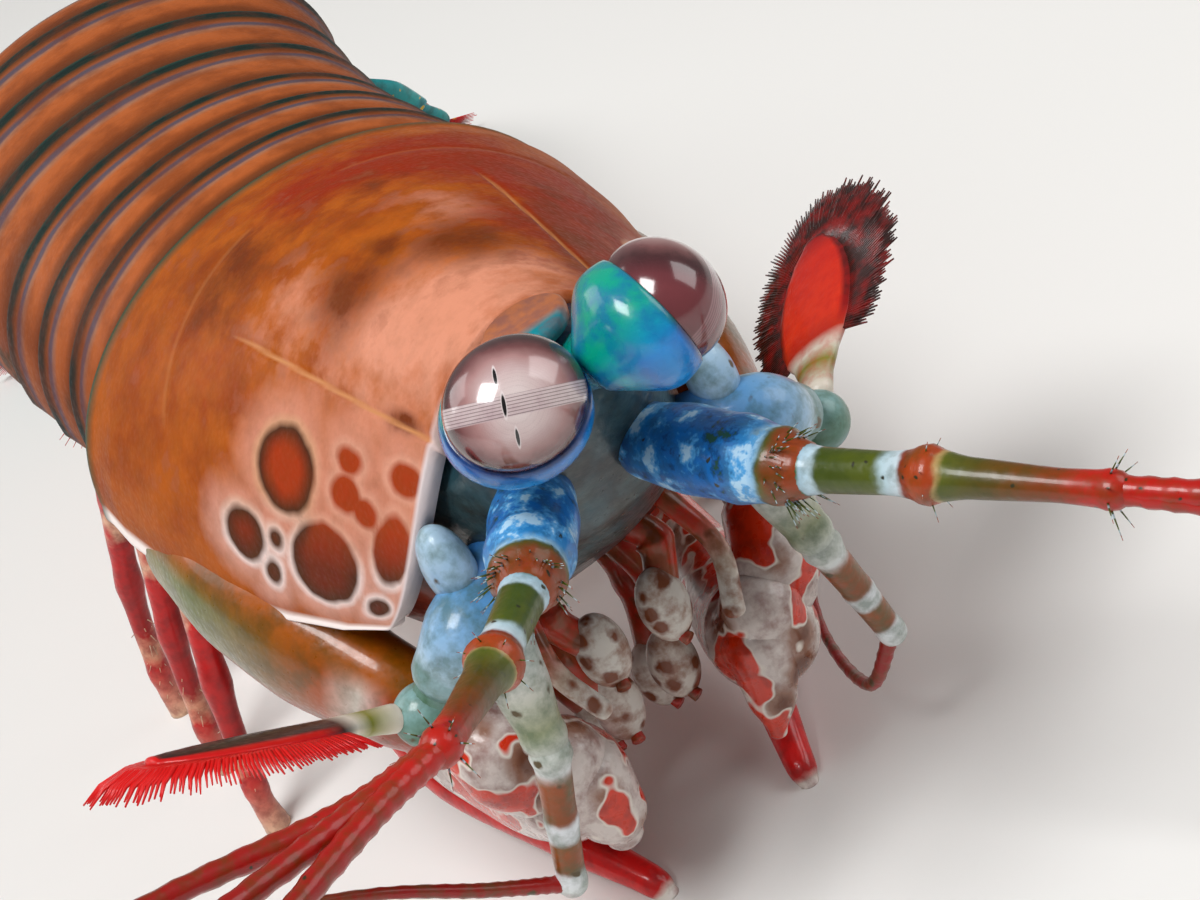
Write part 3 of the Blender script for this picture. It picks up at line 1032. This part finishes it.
for side_name, sign in SIDES:
    bm = new_form()
    limb_form(bm, mirrored(sign, *FIRST_MAXILLIPED), start=0.2, end=1.2)
    finish_piece(bm, f"maxilliped_1_{side_name}", "arm", hand_finish)
    for number, *spots in MAXILLIPEDS:
        bm = new_form()
        root, elbow, hand = (Vector(spot) for spot in mirrored(sign, *spots))
        limb_form(bm, [(*spot, 0.9) for spot in (root, elbow, hand)], rings=24, end=0.7, bumps=((0.5, 0.08, 0.2),))
        bulb(bm, hand, (1.4, 1.1, 2.3), 1.05)
        spine(bm, hand - Vector((0, 0.4, 1.9)), Vector((-sign * 0.3, 0.9, 0.5)), 2.2, 0.4, sides=8, sink=0.5,
              guide_value=(1.5, 0, 0))
        finish_piece(bm, f"maxilliped_{number}_{side_name}", "arm", hand_finish)

# Raptorial claws
# The smashing claws, folded: an olive and orange upper arm along the body, a short
# wrist, a white fist with brown dots and red patches, and a red finger with a white tip.
RAPTORIAL = {
    "merus": ((15, 28.4, -13.6, 1.2, 1.6), (14.8, 25.6, -13.9, 2.2, 3.6), (14.2, 20.5, -15, 2.8, 4.5),
              (13.2, 15, -16.4, 2.9, 4.4), (11.6, 10, -18.6, 2.4, 3.5), (10.4, 7.6, -20.4, 1.9, 2.6)),
    "carpus": ((9.7, 6.9, -21.6, 2, 2.2), (8.9, 5.5, -23.4, 2.5, 2.7), (8.3, 5.2, -25.2, 2, 2.2)),
    "propodus": ((6.6, 4.2, -24.4, 2.2), (6.5, 5.4, -26.8, 3.1, 3.2), (7.2, 9, -28.6, 2.9, 3.3),
                 (8.6, 15, -28.8, 2.4, 2.9), (10, 22, -27.6, 1.6, 2)),
    "dactyl": ((10.6, 23.6, -28.4, 1, 1.2), (9.6, 19, -32.2, 1.5), (7.4, 11.5, -34.2, 1.2), (5.4, 6.4, -36.2, 0.9),
               (5, 5.2, -37.2, 0.6)),
}
FIST_POINTS = {"L": ((5.8, 4.3, -26.4, 2.3), (4.7, 3.4, -29, 1.4), (4, 3, -30.9, 0.5)),
               "R": ((-6, 4.3, -26.4, 2.4), (-5.8, 3.8, -29, 1.9), (-5.8, 3.8, -30.4, 1.1))}
merus_finish, shader, point, axes = wet_shell("olive_upper_arm", roughness=0.3, coat=0.4)
colour = colour_steps(axes["X"], "0 b4a480, 0.1 c4b8aa, 0.16 6c5a00, 0.4 545e00, 0.6 6c4a00, 0.72 964000, "
                                 "0.8 c8bcb2, 0.87 aa2a00, 1 9a2000")
colour = over(between(axes["Z"], -0.15, -0.6), colour, "962600")
colour = over(between(axes["Z"], 0.55, 0.85), colour, "984c02")
feed(shader, {"Base Color": mottled(point, colour, "343400", 2.2, 0.55)})
glove_finish, shader, point, axes = wet_shell("spotted_fist", roughness=0.24, coat=0.55, pit_size=0.5, pit_depth=0.15)
colour = mottled(point, "ccc0ba", "86605a", 1.5, 0.85)
for width, chip in ((0.52, "8a6250"), (0.3, "64341c")):
    colour = over(use(dotted, Point=point, Spacing=3.1, Width=width), colour, chip)
patch = noise(point, 0.33, 2)
scarlet = mottled(point, "cc2c04", "8c1a04", 1.2, 0.7)
colour = over(between(patch, 0.485, 0.505), colour, "d8cec4")
feed(shader, {"Base Color": over(between(patch, 0.51, 0.535), colour, scarlet)})
finger_finish = banded("red_finger", "0 ca1100, 0.3 c30000, 0.75 d30000, 0.86 bb0000, 0.93 e2d9cf, 1 e6ded7",
                       pigment="7c0000", size=1.2, amount=0.6, coat=0.5)
for side_name, sign in SIDES:
    for part, finish, slot in (("merus", merus_finish, "upper_arm"), ("carpus", glove_finish, "fist"),
                               ("propodus", glove_finish, "fist"), ("dactyl", finger_finish, "finger")):
        bm = new_form()
        limb_form(bm, mirrored(sign, *RAPTORIAL[part]), sides=36, rings=44)
        if part == "propodus":
            limb_form(bm, FIST_POINTS[side_name], sides=28, rings=24, start=0.6)
        stand_on_floor(bm)
        finish_piece(bm, f"raptorial_{part}_{side_name}", "shell", finish)
